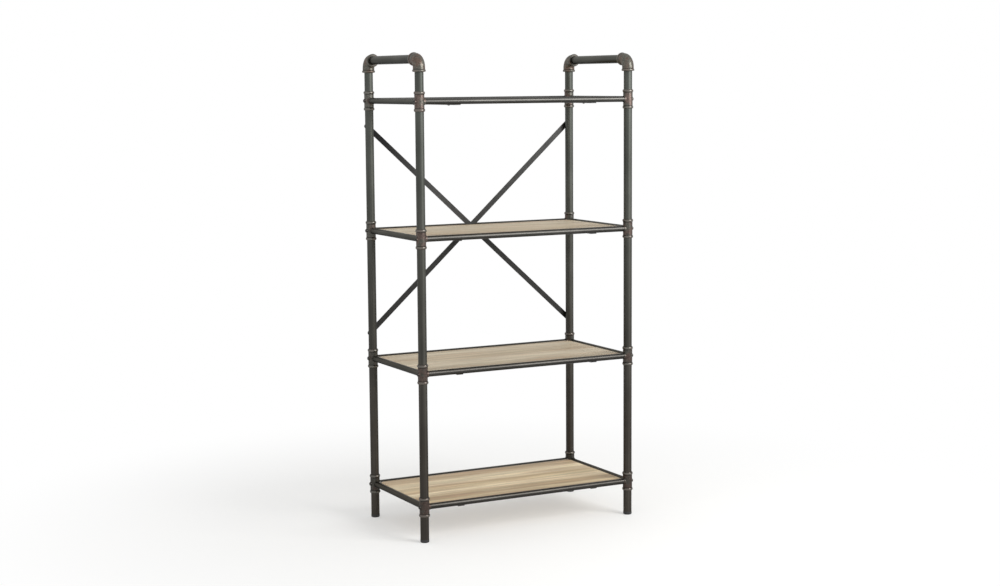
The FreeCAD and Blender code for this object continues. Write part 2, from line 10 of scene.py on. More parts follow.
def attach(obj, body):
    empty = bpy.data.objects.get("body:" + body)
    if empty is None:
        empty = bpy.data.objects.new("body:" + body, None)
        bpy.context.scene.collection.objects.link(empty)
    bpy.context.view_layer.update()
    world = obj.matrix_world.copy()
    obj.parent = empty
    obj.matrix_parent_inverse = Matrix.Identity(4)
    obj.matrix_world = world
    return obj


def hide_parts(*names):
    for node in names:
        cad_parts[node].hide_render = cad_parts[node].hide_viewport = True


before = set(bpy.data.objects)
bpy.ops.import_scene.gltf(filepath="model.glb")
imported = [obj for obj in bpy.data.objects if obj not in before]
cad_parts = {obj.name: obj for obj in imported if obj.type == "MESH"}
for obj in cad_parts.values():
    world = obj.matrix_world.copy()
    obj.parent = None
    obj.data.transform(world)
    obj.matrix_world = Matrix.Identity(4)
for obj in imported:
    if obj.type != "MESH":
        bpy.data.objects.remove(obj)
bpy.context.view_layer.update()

Tree = bpy.types.NodeTree
Socket = bpy.types.NodeSocket
Material = bpy.types.Material

LOG = logging.getLogger("etagere")
MM = 0.001
BODY = "root"
LEVELS = ("bottom", "lower", "upper", "top")
CORNERS = {"left_front": (-1, -1), "right_front": (1, -1), "left_rear": (-1, 1), "right_rear": (1, 1)}
SIDES = {"left": -1, "right": 1}
# The height of the bottom shelf's rails and the step from shelf to shelf, as the CAD has them.
BOTTOM_Z = 0.132
SHELF_PITCH = 0.492
# The settings of the mix nodes, and the numbers of their sockets: the share, the two colours and the result.
BLEND = {"data_type": "RGBA", "blend_type": "MIX"}
MULTIPLY = {"data_type": "RGBA", "blend_type": "MULTIPLY"}
SHARE, FIRST, SECOND, MIXED = 0, 6, 7, 2
# A full share, and a scale or a strength that changes nothing.
WHOLE = 1.0
WHITE = (1.0, 1.0, 1.0, 1.0)
RELIEF_STRENGTH = 0.5
# The least upright part of a flat face's normal, and the most that a picked face lies off its height.
FLAT_FACE = 0.9
SAME_HEIGHT = 0.05 * MM


class Run(Enum):
    """The way a tube runs, which its drawing marks follow."""

    ACROSS = (1, 0, 0)
    FORE_AND_AFT = (0, 1, 0)
    UPRIGHT = (0, 0, 1)


class Stave(Enum):
    """The tones of the boards' oak staves under their lime wash."""

    CHALK = "#DDCDAD"
    STRAW = "#CEBB97"
    HONEY = "#BBA587"
    TAN = "#B29C7B"
    BROWN = "#A49074"
    PALE_ASH = "#CEC2AB"
    ASH = "#C0B198"
    DUSK = "#AEA18A"


class Drive(Enum):
    """The recess in a fastener's head."""

    HEX_SOCKET = "hex socket"
    CROSS = "cross recess"
    PLAIN = "plain"


def linear(hex_colour: str) -> tuple[float, float, float, float]:
    """Turn an sRGB hex colour to linear.

    Args:
        hex_colour: Six hex digits after a hash.

    Returns:
        Linear red, green and blue with full alpha.
    """
    parts = [int(hex_colour[i:i + 2], 16) / 255 for i in (1, 3, 5)]
    made = [c / 12.92 if c <= 0.04045 else ((c + 0.055) / 1.055) ** 2.4 for c in parts]
    return (*made, 1.0)


def add_node(
    tree: Tree,
    kind: str,
    settings: dict[str, object] | None = None,
    inputs: dict[str | int, object] | None = None,
) -> bpy.types.Node:
    """Add a node with its settings and links.

    Args:
        tree: The material's node tree.
        kind: The node's type name.
        settings: Properties to set on the node.
        inputs: Values or upstream sockets, by the input's name or number.

    Returns:
        The new node.
    """
    node = tree.nodes.new(kind)
    for name, value in (settings or {}).items():
        setattr(node, name, value)
    for key, value in (inputs or {}).items():
        if isinstance(value, Socket):
            tree.links.new(value, node.inputs[key])
        else:
            node.inputs[key].default_value = value
    return node


def fresh_material(name: str) -> tuple[Material, Tree]:
    """Start an empty node material.

    Args:
        name: The material's name.

    Returns:
        The material and its cleared tree.
    """
    material = bpy.data.materials.new(name)
    material.use_nodes = True
    material.node_tree.nodes.clear()
    return material, material.node_tree


@dataclass(frozen=True)
class Stretch:
    """A range of values and the range that it becomes, held at its ends."""

    low: float
    high: float
    to_low: float = 0.0
    to_high: float = 1.0

    def of(self, value: Socket) -> dict[str, object]:
        """Tell a range node to stretch a value so.

        Args:
            value: The value, from another node.

        Returns:
            The node's inputs.
        """
        return {
            "Value": value, "From Min": self.low, "From Max": self.high,
            "To Min": self.to_low, "To Max": self.to_high,
        }


@dataclass(frozen=True)
class Pattern:
    """An irregular pattern whose features have a real size along each axis, in millimetres."""

    sizes_mm: tuple[float, float, float]
    detail: float = 2.0
    distortion: float = 0.0
    slide: float = 0.0

    def lay(self, tree: Tree, place: Socket) -> Socket:
        """Lay the pattern on a piece.

        Args:
            tree: The material's node tree.
            place: The piece's coordinates, in metres.

        Returns:
            The pattern's value at a point, about one half on average.
        """
        way = add_node(tree, "ShaderNodeMapping", inputs={
            "Vector": place, "Location": (self.slide,) * 3,
            "Scale": tuple(1 / (size * MM) for size in self.sizes_mm),
        })
        noise = add_node(tree, "ShaderNodeTexNoise", inputs={
            "Vector": way.outputs["Vector"], "Scale": WHOLE,
            "Detail": self.detail, "Distortion": self.distortion,
        })
        return noise.outputs["Fac"]


@dataclass(frozen=True)
class HeightShadedTone:
    """The metal's tone, browner and darker low down and a clearer grey at the top; the darkening low down is
    painted shade for the light from above.
    """

    low: str
    high: str
    drift: Stretch = Stretch(0.35, 1.62)

    def colour(self, tree: Tree, height: Socket) -> Socket:
        """Mix the tone for a height.

        Args:
            tree: The material's node tree.
            height: The height above the floor, in metres.

        Returns:
            The tone there.
        """
        # Painted shade: the tone darkens towards the floor.
        share = add_node(tree, "ShaderNodeMapRange", inputs=self.drift.of(height)).outputs["Result"]
        ends = {SHARE: share, FIRST: linear(self.low), SECOND: linear(self.high)}
        return add_node(tree, "ShaderNodeMix", BLEND, ends).outputs[MIXED]


def shaded(tree: Tree, colour: Socket, layers: list[tuple[Stretch, Socket]]) -> Socket:
    """Shade a colour by one value after another.

    Args:
        tree: The material's node tree.
        colour: The colour beneath.
        layers: How each value lightens or darkens the colour, and the value.

    Returns:
        The shaded colour.
    """
    for stretch, value in layers:
        shade = add_node(tree, "ShaderNodeMapRange", inputs=stretch.of(value)).outputs["Result"]
        over = {SHARE: WHOLE, FIRST: colour, SECOND: shade}
        colour = add_node(tree, "ShaderNodeMix", MULTIPLY, over).outputs[MIXED]
    return colour


def satin_metal(
    tree: Tree,
    colour: Socket,
    rough: float | Socket,
    relief: Socket,
    metallic: float,
    bump_mm: float,
    edge: float,
) -> None:
    """Finish a material as satin metal.

    Args:
        tree: The material's node tree.
        colour: The metal's colour.
        rough: Its roughness, a value or a socket.
        relief: What the fine relief follows.
        metallic: How metallic it is.
        bump_mm: How deep the relief is, in millimetres.
        edge: How much of the surround it mirrors where it turns away from the eye.
    """
    bump = add_node(tree, "ShaderNodeBump", inputs={
        "Height": relief, "Distance": bump_mm * MM, "Strength": RELIEF_STRENGTH,
    })
    shader = add_node(tree, "ShaderNodeBsdfPrincipled", inputs={
        "Base Color": colour, "Metallic": metallic, "Roughness": rough, "Normal": bump.outputs["Normal"],
        "Specular Tint": (edge, edge, edge, 1.0),
    })
    add_node(tree, "ShaderNodeOutputMaterial", inputs={"Surface": shader.outputs["BSDF"]})


@dataclass(frozen=True)
class LacqueredTube:
    """Drawn steel tube under a dark clear lacquer."""

    # Satin to the eye, with faint marks along the draw and painted shade on the underside.
    # The real marks are hair-fine, so they are drawn a few millimetres wide to show.
    run: Run
    tone: HeightShadedTone = HeightShadedTone("#494540", "#5D605B")
    streak_width_mm: float = 3.0
    streak_length_mm: float = 420.0
    streak_detail: float = 3.0
    blotch_mm: float = 150.0
    streaked: Stretch = Stretch(0.34, 0.66, 0.80, 1.16)
    clouded: Stretch = Stretch(0.35, 0.65, 0.88, 1.10)
    # Painted shade that deepens as the surface turns down; where the top end is above one, a painted
    # highlight along the top.
    painted_light_by_facing: Stretch = Stretch(-0.7, 0.7, 0.70, 1.0)
    roughness: Stretch = Stretch(0.3, 0.7, 0.48, 0.58)
    metallic: float = 1.0
    edge: float = 0.78
    bump_mm: float = 0.02

    def material(self) -> Material:
        """Mix the tube's finish, its streaks stretched along the run.

        Returns:
            The material.
        """
        material, tree = fresh_material(f"lacquered_tube_{self.run.name.lower()}")
        place = add_node(tree, "ShaderNodeTexCoord").outputs["Object"]
        height = add_node(tree, "ShaderNodeSeparateXYZ", inputs={"Vector": place}).outputs["Z"]
        sizes = tuple(self.streak_length_mm if along else self.streak_width_mm for along in self.run.value)
        streaks = Pattern(sizes, self.streak_detail).lay(tree, place)
        blotches = Pattern((self.blotch_mm,) * 3).lay(tree, place)
        normal = add_node(tree, "ShaderNodeNewGeometry").outputs["Normal"]
        upward = add_node(tree, "ShaderNodeSeparateXYZ", inputs={"Vector": normal}).outputs["Z"]
        layers = [(self.streaked, streaks), (self.clouded, blotches), (self.painted_light_by_facing, upward)]
        colour = shaded(tree, self.tone.colour(tree, height), layers)
        rough = add_node(tree, "ShaderNodeMapRange", inputs=self.roughness.of(streaks)).outputs["Result"]
        satin_metal(tree, colour, rough, streaks, self.metallic, self.bump_mm, self.edge)
        return material


@dataclass(frozen=True)
class SleeveBeads:
    """Where the beads of the sleeves lie: both sides of every shelf level."""

    bottom_z: float = BOTTOM_Z
    shelf_pitch: float = SHELF_PITCH
    bead_middle: float = 0.03075
    bead_half: float = 0.00525

    def past(self, tree: Tree, split: bpy.types.Node) -> Socket:
        """Measure a point from the beads.

        Args:
            tree: The material's node tree.
            split: The casting's coordinates, one by one.

        Returns:
            How far the point lies past the middle of the nearest bead, away from the barrel.
        """
        half = self.shelf_pitch / 2
        lifted = add_node(tree, "ShaderNodeMath", {"operation": "SUBTRACT"}, {
            0: split.outputs["Z"], 1: self.bottom_z,
        })
        local = add_node(tree, "ShaderNodeMath", {"operation": "WRAP"}, {
            0: lifted.outputs["Value"], 1: half, 2: -half,
        })
        away = add_node(tree, "ShaderNodeMath", {"operation": "ABSOLUTE"}, {0: local.outputs["Value"]})
        past = add_node(tree, "ShaderNodeMath", {"operation": "SUBTRACT"}, {
            0: away.outputs["Value"], 1: self.bead_middle,
        })
        return past.outputs["Value"]


@dataclass(frozen=True)
class ElbowBeads:
    """Where the beads of the elbows lie: one above each post, one at each end of a loop pipe."""

    bead_z: float = 1.71775
    bead_y: float = 0.18125
    bead_half: float = 0.00425

    def past(self, tree: Tree, split: bpy.types.Node) -> Socket:
        """Measure a point from the beads.

        Args:
            tree: The material's node tree.
            split: The casting's coordinates, one by one.

        Returns:
            How far the point lies past the middle of the nearer bead, towards its mouth.
        """
        upright = add_node(tree, "ShaderNodeMath", {"operation": "SUBTRACT"}, {
            0: self.bead_z, 1: split.outputs["Z"],
        })
        depth = add_node(tree, "ShaderNodeMath", {"operation": "ABSOLUTE"}, {0: split.outputs["Y"]})
        level = add_node(tree, "ShaderNodeMath", {"operation": "SUBTRACT"}, {
            0: self.bead_y, 1: depth.outputs["Value"],
        })
        nearer = add_node(tree, "ShaderNodeMath", {"operation": "MAXIMUM"}, {
            0: upright.outputs["Value"], 1: level.outputs["Value"],
        })
        return nearer.outputs["Value"]


@dataclass(frozen=True)
class WeatheredCasting:
    """Cast iron, tumbled and waxed, then handled."""

    # Rubbed bright on the beads and brown in soft patches, with painted shade in the creases beside the beads
    # and in the mouths. The sand's grain is finer than the render shows, so it is drawn 1.6 mm across.
    name: str
    beads: SleeveBeads | ElbowBeads
    brown_share: float
    grey: HeightShadedTone = HeightShadedTone("#413F3A", "#5C5B55")
    brown: HeightShadedTone = HeightShadedTone("#473C37", "#635650")
    rubbed: str = "#74716B"
    painted_shade: str = "#1E1C1A"
    rubbed_share: float = 0.55
    crease_shade_share: float = 0.8
    mouth_share: float = 0.55
    # The value of the patches at which brown begins without any brown share, how far a full share lowers it,
    # and the patches' soft edge.
    brown_middle: float = 0.62
    brown_reach: float = 0.24
    brown_edge: tuple[float, float] = (-0.06, 0.08)
    # Where wear and painted shade begin and end, in shares of a bead's half width from its middle or from its
    # crease, which lies towards the barrel.
    crown_reach: tuple[float, float] = (1.1, 0.2)
    crease_place: float = 1.1
    crease_reach: tuple[float, float] = (0.36, 0.12)
    mouth_reach: tuple[float, float] = (0.8, 0.98)
    barrel_reach: tuple[float, float] = (0.6, 1.4)
    patch_mm: float = 26.0
    patch_detail: float = 4.0
    fleck_mm: float = 6.0
    fleck_detail: float = 3.0
    grain_mm: float = 1.6
    grained: Stretch = Stretch(0.40, 0.66, 0.82, 1.20)
    flecked: Stretch = Stretch(0.34, 0.66, 0.70, 1.30)
    metallic: float = 0.7
    roughness_bead: float = 0.24
    roughness_barrel: float = 0.36
    edge: float = 0.6
    bump_mm: float = 0.12

    def _browned(self) -> Stretch:
        """Where the patches turn brown: the larger the brown share, the sooner."""
        middle = self.brown_middle - self.brown_reach * self.brown_share
        return Stretch(*(middle + side for side in self.brown_edge))

    def _bead_stretch(self, reach: tuple[float, float], to_low: float, to_high: float) -> Stretch:
        """A stretch that begins and ends at shares of a bead's half width."""
        return Stretch(*(share * self.beads.bead_half for share in reach), to_low, to_high)

    def _body(self, tree: Tree, place: Socket, height: Socket, grain: Socket) -> Socket:
        """Mix the colour of the casting away from its beads.

        Args:
            tree: The material's node tree.
            place: The casting's coordinates.
            height: The height above the floor.
            grain: The sand's grain.

        Returns:
            The grey with its brown patches, flecks and grain.
        """
        patches = Pattern((self.patch_mm,) * 3, self.patch_detail).lay(tree, place)
        flecks = Pattern((self.fleck_mm,) * 3, self.fleck_detail).lay(tree, place)
        browned = add_node(tree, "ShaderNodeMapRange", inputs=self._browned().of(patches)).outputs["Result"]
        grey = self.grey.colour(tree, height)
        brown = self.brown.colour(tree, height)
        tones = {SHARE: browned, FIRST: grey, SECOND: brown}
        colour = add_node(tree, "ShaderNodeMix", BLEND, tones).outputs[MIXED]
        return shaded(tree, colour, [(self.grained, grain), (self.flecked, flecks)])

    def material(self) -> Material:
        """Mix the casting's finish, its wear and painted shade laid by the distance from the beads.

        Returns:
            The material.
        """
        material, tree = fresh_material(self.name)
        place = add_node(tree, "ShaderNodeTexCoord").outputs["Object"]
        split = add_node(tree, "ShaderNodeSeparateXYZ", inputs={"Vector": place})
        grain = Pattern((self.grain_mm,) * 3).lay(tree, place)
        colour = self._body(tree, place, split.outputs["Z"], grain)
        past = self.beads.past(tree, split)
        away = add_node(tree, "ShaderNodeMath", {"operation": "ABSOLUTE"}, {0: past}).outputs["Value"]
        creased = add_node(tree, "ShaderNodeMath", {"operation": "ADD"}, {
            0: past, 1: self.crease_place * self.beads.bead_half,
        })
        crease = add_node(tree, "ShaderNodeMath", {"operation": "ABSOLUTE"}, {0: creased.outputs["Value"]})
        layers = (
            (self._bead_stretch(self.crown_reach, 0.0, self.rubbed_share), away, self.rubbed),
            # Painted shade: dark in the creases beside the beads and in the mouths, where shade falls.
            (self._bead_stretch(self.crease_reach, 0.0, self.crease_shade_share), crease.outputs["Value"], self.painted_shade),
            (self._bead_stretch(self.mouth_reach, 0.0, self.mouth_share), past, self.painted_shade),
        )
        for stretch, value, tone in layers:
            share = add_node(tree, "ShaderNodeMapRange", inputs=stretch.of(value)).outputs["Result"]
            wear_and_shade = {SHARE: share, FIRST: colour, SECOND: linear(tone)}
            colour = add_node(tree, "ShaderNodeMix", BLEND, wear_and_shade).outputs[MIXED]
        dulled = self._bead_stretch(self.barrel_reach, self.roughness_bead, self.roughness_barrel).of(away)
        rough = add_node(tree, "ShaderNodeMapRange", inputs=dulled).outputs["Result"]
        satin_metal(tree, colour, rough, grain, self.metallic, self.bump_mm, self.edge)
        return material


@dataclass(frozen=True)
class PaintedBar:
    """Hot-rolled flat bar or a blacked fastener under thin dark paint."""

    # Satin and slightly pitted. The scale's pits are finer than the render shows, so they are drawn 1.2 mm
    # across.
    name: str
    tone: HeightShadedTone = HeightShadedTone("#201F1D", "#393938")
    mottle_mm: float = 22.0
    mottle_detail: float = 3.0
    pit_mm: float = 1.2
    clouded: Stretch = Stretch(0.35, 0.65, 0.86, 1.14)
    # How the bar darkens from one place across the width to another, in metres from the middle.
    end_darkening: Stretch | None = None
    metallic: float = 0.6
    roughness: float = 0.40
    edge: float = 0.6
    bump_mm: float = 0.05

    def material(self) -> Material:
        """Mix the bar's finish, darkened towards one end if it has that.

        Returns:
            The material.
        """
        material, tree = fresh_material(self.name)
        place = add_node(tree, "ShaderNodeTexCoord").outputs["Object"]
        split = add_node(tree, "ShaderNodeSeparateXYZ", inputs={"Vector": place})
        mottle = Pattern((self.mottle_mm,) * 3, self.mottle_detail).lay(tree, place)
        pits = Pattern((self.pit_mm,) * 3).lay(tree, place)
        layers = [(self.clouded, mottle)]
        if self.end_darkening:
            layers.append((self.end_darkening, split.outputs["X"]))
        colour = shaded(tree, self.tone.colour(tree, split.outputs["Z"]), layers)
        satin_metal(tree, colour, self.roughness, pits, self.metallic, self.bump_mm, self.edge)
        return material


@dataclass(frozen=True)
class MouldedFoot:
    """Black polyamide moulding from a spark-eroded tool."""

    # Matt and grained, with a slight dusting on the high spots. The grain is drawn coarser than it is, so
    # that it shows.
    black: str = "#151515"
    dusty: str = "#262625"
    grain_mm: float = 0.9
    roughness: float = 0.58
    ior: float = 1.53
    bump_mm: float = 0.06

    def material(self) -> Material:
        """Mix the foot's finish.

        Returns:
            The material.
        """
        material, tree = fresh_material("moulded_foot")
        place = add_node(tree, "ShaderNodeTexCoord").outputs["Object"]
        grain = Pattern((self.grain_mm,) * 3).lay(tree, place)
        tones = {SHARE: grain, FIRST: linear(self.black), SECOND: linear(self.dusty)}
        colour = add_node(tree, "ShaderNodeMix", BLEND, tones).outputs[MIXED]
        bump = add_node(tree, "ShaderNodeBump", inputs={
            "Height": grain, "Distance": self.bump_mm * MM, "Strength": RELIEF_STRENGTH,
        })
        shader = add_node(tree, "ShaderNodeBsdfPrincipled", inputs={
            "Base Color": colour, "Roughness": self.roughness, "IOR": self.ior,
            "Normal": bump.outputs["Normal"],
        })
        add_node(tree, "ShaderNodeOutputMaterial", inputs={"Surface": shader.outputs["BSDF"]})
        return material


@dataclass(frozen=True)
class OakBoard:
    """Oak staves glued up, limed and lacquered matt."""

    # Long bands of several tones across the shelf, fine grain in them, and open pores that the lacquer leaves
    # dark. Real pores are a third of a millimetre wide, so they are drawn 0.9 mm wide to show.
    level: str
    staves: tuple[tuple[float, Stave], ...]
    board_depth: float = 0.420
    wander: float = 0.014
    wander_range: tuple[float, float] = (0.2, 0.8)
    drift: Pattern = Pattern((380.0, 60.0, 200.0), detail=1.0)
    bands: Pattern = Pattern((320.0, 15.0, 90.0), distortion=0.3)
    blushes: Pattern = Pattern((300.0, 26.0, 90.0), distortion=0.2)
    grain: Pattern = Pattern((150.0, 3.4, 60.0), detail=4.0, distortion=0.5)
    pores: Pattern = Pattern((22.0, 0.9, 30.0))
    blush: str = "#BF9C7E"
    lime: str = "#C4BCA0"
    pore_dark: str = "#7E6442"
    blushed: Stretch = Stretch(0.54, 0.70, 0.0, 0.45)
    limed: Stretch = Stretch(0.46, 0.30, 0.0, 0.40)
    banded: Stretch = Stretch(0.32, 0.68, 0.80, 1.16)
    grained: Stretch = Stretch(0.30, 0.70, 0.82, 1.15)
    warmed: Stretch = Stretch(0.46, 0.70, 0.0, 0.22)
    opened: Stretch = Stretch(0.42, 0.30, 0.0, 0.40)
    roughness: Stretch = Stretch(0.3, 0.7, 0.58, 0.70)
    ior: float = 1.5
    sheen: float = 0.35
    bump_mm: float = 0.08
    bump_strength: float = 0.35

    def _stave_tones(self, tree: Tree, place: Socket, drift: Socket) -> Socket:
        """Lay the staves' own tones from the back edge to the front edge.

        Args:
            tree: The material's node tree.
            place: The board's coordinates.
            drift: The slow waver of the staves' edges.

        Returns:
            The tone at a point.
        """
        half = self.board_depth / 2
        depth = add_node(tree, "ShaderNodeSeparateXYZ", inputs={"Vector": place}).outputs["Y"]
        wavering = Stretch(*self.wander_range, -self.wander, self.wander).of(drift)
        waver = add_node(tree, "ShaderNodeMapRange", inputs=wavering).outputs["Result"]
        wavered = add_node(tree, "ShaderNodeMath", {"operation": "ADD"}, {0: depth, 1: waver})
        forwards = Stretch(half, -half).of(wavered.outputs["Value"])
        share = add_node(tree, "ShaderNodeMapRange", inputs=forwards).outputs["Result"]
        tones = add_node(tree, "ShaderNodeValToRGB", inputs={"Fac": share})
        stops = tones.color_ramp.elements
        for position, _ in self.staves[1:-1]:
            stops.new(position)
        for stop, (position, stave) in zip(stops, self.staves):
            stop.position = position
            stop.color = linear(stave.value)
        return tones.outputs["Color"]

    def _slid(self, pattern: Pattern, way: int) -> Pattern:
        """The pattern slid along by a step of this board's own, so that no two boards are alike."""
        step = float(len(self.level) + LEVELS.index(self.level))
        return replace(pattern, slide=way * step)

    def material(self) -> Material:
        """Mix the board's finish, its grain running across the shelf.

        Returns:
            The material.
        """
        material, tree = fresh_material(f"oak_board_{self.level}")
        place = add_node(tree, "ShaderNodeTexCoord").outputs["Object"]
        drift = self._slid(self.drift, 1).lay(tree, place)
        bands = self._slid(self.bands, 1).lay(tree, place)
        blushes = self._slid(self.blushes, -1).lay(tree, place)
        grain = self._slid(self.grain, 1).lay(tree, place)
        pores = self.pores.lay(tree, place)
        wood = self._stave_tones(tree, place, drift)
        layers = (
            (BLEND, self.blushed, blushes, self.blush),
            (BLEND, self.limed, blushes, self.lime),
            (MULTIPLY, self.banded, bands, None),
            (MULTIPLY, self.grained, grain, None),
            (BLEND, self.warmed, drift, self.pore_dark),
            (BLEND, self.opened, pores, self.pore_dark),
        )
        for way, stretch, pattern, tone in layers:
            value = add_node(tree, "ShaderNodeMapRange", inputs=stretch.of(pattern)).outputs["Result"]
            laid = {SHARE: value, SECOND: linear(tone)} if tone else {SHARE: WHOLE, SECOND: value}
            wood = add_node(tree, "ShaderNodeMix", way, {FIRST: wood, **laid}).outputs[MIXED]
        rough = add_node(tree, "ShaderNodeMapRange", inputs=self.roughness.of(grain)).outputs["Result"]
        bump = add_node(tree, "ShaderNodeBump", inputs={
            "Height": pores, "Distance": self.bump_mm * MM, "Strength": self.bump_strength,
        })
        shader = add_node(tree, "ShaderNodeBsdfPrincipled", inputs={
            "Base Color": wood, "Roughness": rough, "IOR": self.ior, "Specular IOR Level": self.sheen,
            "Normal": bump.outputs["Normal"],
        })
        add_node(tree, "ShaderNodeOutputMaterial", inputs={"Surface": shader.outputs["BSDF"]})
        return material


def dress(node: str, material: Material) -> str:
    """Give a CAD node one material all over.

    Args:
        node: The node's name.
        material: The material it gets.

    Returns:
        The node's name.
    """
    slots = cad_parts[node].data.materials
    slots.clear()
    slots.append(material)
    return node


def deselect() -> None:
    """Leave edit mode and deselect everything."""
    if bpy.context.object and bpy.context.object.mode != "OBJECT":
        bpy.ops.object.mode_set(mode="OBJECT")
    bpy.ops.object.select_all(action="DESELECT")


@dataclass
class Feet:
    """The moulded glides under the posts."""

    finish: MouldedFoot = MouldedFoot()

    def build(self) -> list[str]:
        """Dress the glides, and return their names."""
        moulding = self.finish.material()
        return [dress(f"foot_glide_{corner}", moulding) for corner in CORNERS]


@dataclass(frozen=True)
class CornerWear:
    """How the castings at one corner have aged, the front ones browner and more rubbed; the rear elbows'
    beads are rubbed less bright as painted shade for the dark reflection in their mouths.
    """

    sleeve_brown: float
    elbow_brown: float
    elbow_rubbed_and_shaded: float
    elbow_gloss: float


@dataclass
class EndFrames:
    """The two end frames: posts, sleeves, elbows, loop pipes and side rails."""

    post: LacqueredTube = LacqueredTube(Run.UPRIGHT)
    rail: LacqueredTube = LacqueredTube(
        # The side rails and loop pipes get painted shade underneath and a painted highlight along their tops.
        Run.FORE_AND_AFT, HeightShadedTone("#3D3A34", "#52524D"), painted_light_by_facing=Stretch(-0.7, 0.7, 0.5, 1.4),
        roughness=Stretch(0.3, 0.7, 0.32, 0.42), edge=0.62,
    )
    elbow_grey: HeightShadedTone = HeightShadedTone("#403D38", "#5F5D56")
    elbow_brown: HeightShadedTone = HeightShadedTone("#443632", "#67584F")
    wear: dict[str, CornerWear] = field(default_factory=lambda: {
        "left_front": CornerWear(sleeve_brown=0.9, elbow_brown=0.6, elbow_rubbed_and_shaded=0.55, elbow_gloss=0.24),
        "right_front": CornerWear(sleeve_brown=0.5, elbow_brown=0.5, elbow_rubbed_and_shaded=0.55, elbow_gloss=0.24),
        # The rear elbows' low rubbed share is painted shade that keeps their mouths dark.
        "left_rear": CornerWear(sleeve_brown=0.15, elbow_brown=0.2, elbow_rubbed_and_shaded=0.20, elbow_gloss=0.42),
        "right_rear": CornerWear(sleeve_brown=0.35, elbow_brown=0.3, elbow_rubbed_and_shaded=0.20, elbow_gloss=0.42),
    })

    def _castings(self, corner: str) -> list[str]:
        """Dress the elbow and the sleeves at one corner.

        Args:
            corner: The corner's name.

        Returns:
            The names of the nodes.
        """
        wear = self.wear[corner]
        elbow = WeatheredCasting(
            f"elbow_casting_{corner}", ElbowBeads(), wear.elbow_brown, self.elbow_grey, self.elbow_brown,
            rubbed_share=wear.elbow_rubbed_and_shaded, roughness_bead=wear.elbow_gloss,
        ).material()
        sleeve = WeatheredCasting(f"sleeve_casting_{corner}", SleeveBeads(), wear.sleeve_brown).material()
        sleeves = [dress(f"fitting_{shelf}_{corner}", sleeve) for shelf in LEVELS]
        return [dress(f"elbow_{corner}", elbow), *sleeves]

    def build(self) -> list[str]:
        """Dress both frames.

        Returns:
            The names of the nodes.
        """
        post = self.post.material()
        rail = self.rail.material()
        made = []
        for corner in CORNERS:
            made.append(dress(f"post_{corner}", post))
            made += self._castings(corner)
        for side in SIDES:
            made.append(dress(f"loop_pipe_{side}", rail))
            made += [dress(f"side_rail_{shelf}_{side}", rail) for shelf in LEVELS]
        return made


@dataclass
class LongRails:
    """The rails across the front and the back, with the plugs inside their ends."""

    rail: LacqueredTube = LacqueredTube(
        Run.ACROSS, HeightShadedTone("#413F3C", "#4D4C49"), streak_width_mm=8.0,
        roughness=Stretch(0.3, 0.7, 0.31, 0.35), bump_mm=0.01,
    )
    plug: PaintedBar = PaintedBar("blacked_plug")

    def build(self) -> list[str]:
        """Dress the long rails and the plugs.

        Returns:
            The names of the nodes.
        """
        rail = self.rail.material()
        made = [dress(f"{row}_rail_{shelf}", rail) for shelf in LEVELS for row in ("front", "rear")]
        made.append(dress("rail_inserts", self.plug.material()))
        return made


@dataclass
class Boards:
    """The four shelf boards and the straps that carry them."""

    strap: PaintedBar = PaintedBar("strap_paint")
    # Where each stave's tone lies, as a share of the board's depth from its back edge.
    staves: dict[str, tuple[tuple[float, Stave], ...]] = field(default_factory=lambda: {
        "bottom": (
            (0.00, Stave.HONEY), (0.16, Stave.HONEY), (0.22, Stave.CHALK), (0.37, Stave.CHALK),
            (0.45, Stave.TAN), (0.51, Stave.STRAW), (0.57, Stave.STRAW), (0.63, Stave.CHALK),
            (0.68, Stave.CHALK), (0.76, Stave.TAN), (0.84, Stave.BROWN), (0.90, Stave.STRAW),
            (1.00, Stave.TAN),
        ),
        "lower": (
            (0.00, Stave.DUSK), (0.05, Stave.ASH), (0.12, Stave.PALE_ASH), (0.18, Stave.PALE_ASH),
            (0.25, Stave.ASH), (0.50, Stave.ASH), (0.62, Stave.PALE_ASH), (0.76, Stave.PALE_ASH),
            (0.86, Stave.DUSK), (1.00, Stave.DUSK),
        ),
        "upper": (
            (0.00, Stave.DUSK), (0.07, Stave.ASH), (0.15, Stave.PALE_ASH), (0.56, Stave.PALE_ASH),
            (0.68, Stave.ASH), (1.00, Stave.DUSK),
        ),
        "top": (
            (0.00, Stave.HONEY), (0.22, Stave.STRAW), (0.36, Stave.CHALK), (0.52, Stave.TAN),
            (0.58, Stave.CHALK), (0.80, Stave.STRAW), (1.00, Stave.ASH),
        ),
    })

    def build(self) -> list[str]:
        """Dress the boards and their straps.

        Returns:
            The names of the nodes.
        """
        strap = self.strap.material()
        made = []
        for shelf in LEVELS:
            made.append(dress(f"shelf_panel_{shelf}", OakBoard(shelf, self.staves[shelf]).material()))
            made.append(dress(f"shelf_straps_{shelf}", strap))
        return made


@dataclass
class CrossBrace:
    """The two flat bars behind the rear posts, the falling one darker towards its upper left end."""

    rising: PaintedBar = PaintedBar("brace_paint")
    falling: PaintedBar = PaintedBar("end_darkened_brace_paint", end_darkening=Stretch(-0.37, -0.14, 0.05, 1.15))

    def build(self) -> list[str]:
        """Dress both bars.

        Returns:
            The names of the nodes.
        """
        return [
            dress("brace_bar_front", self.rising.material()),
            dress("brace_bar_rear", self.falling.material()),
        ]


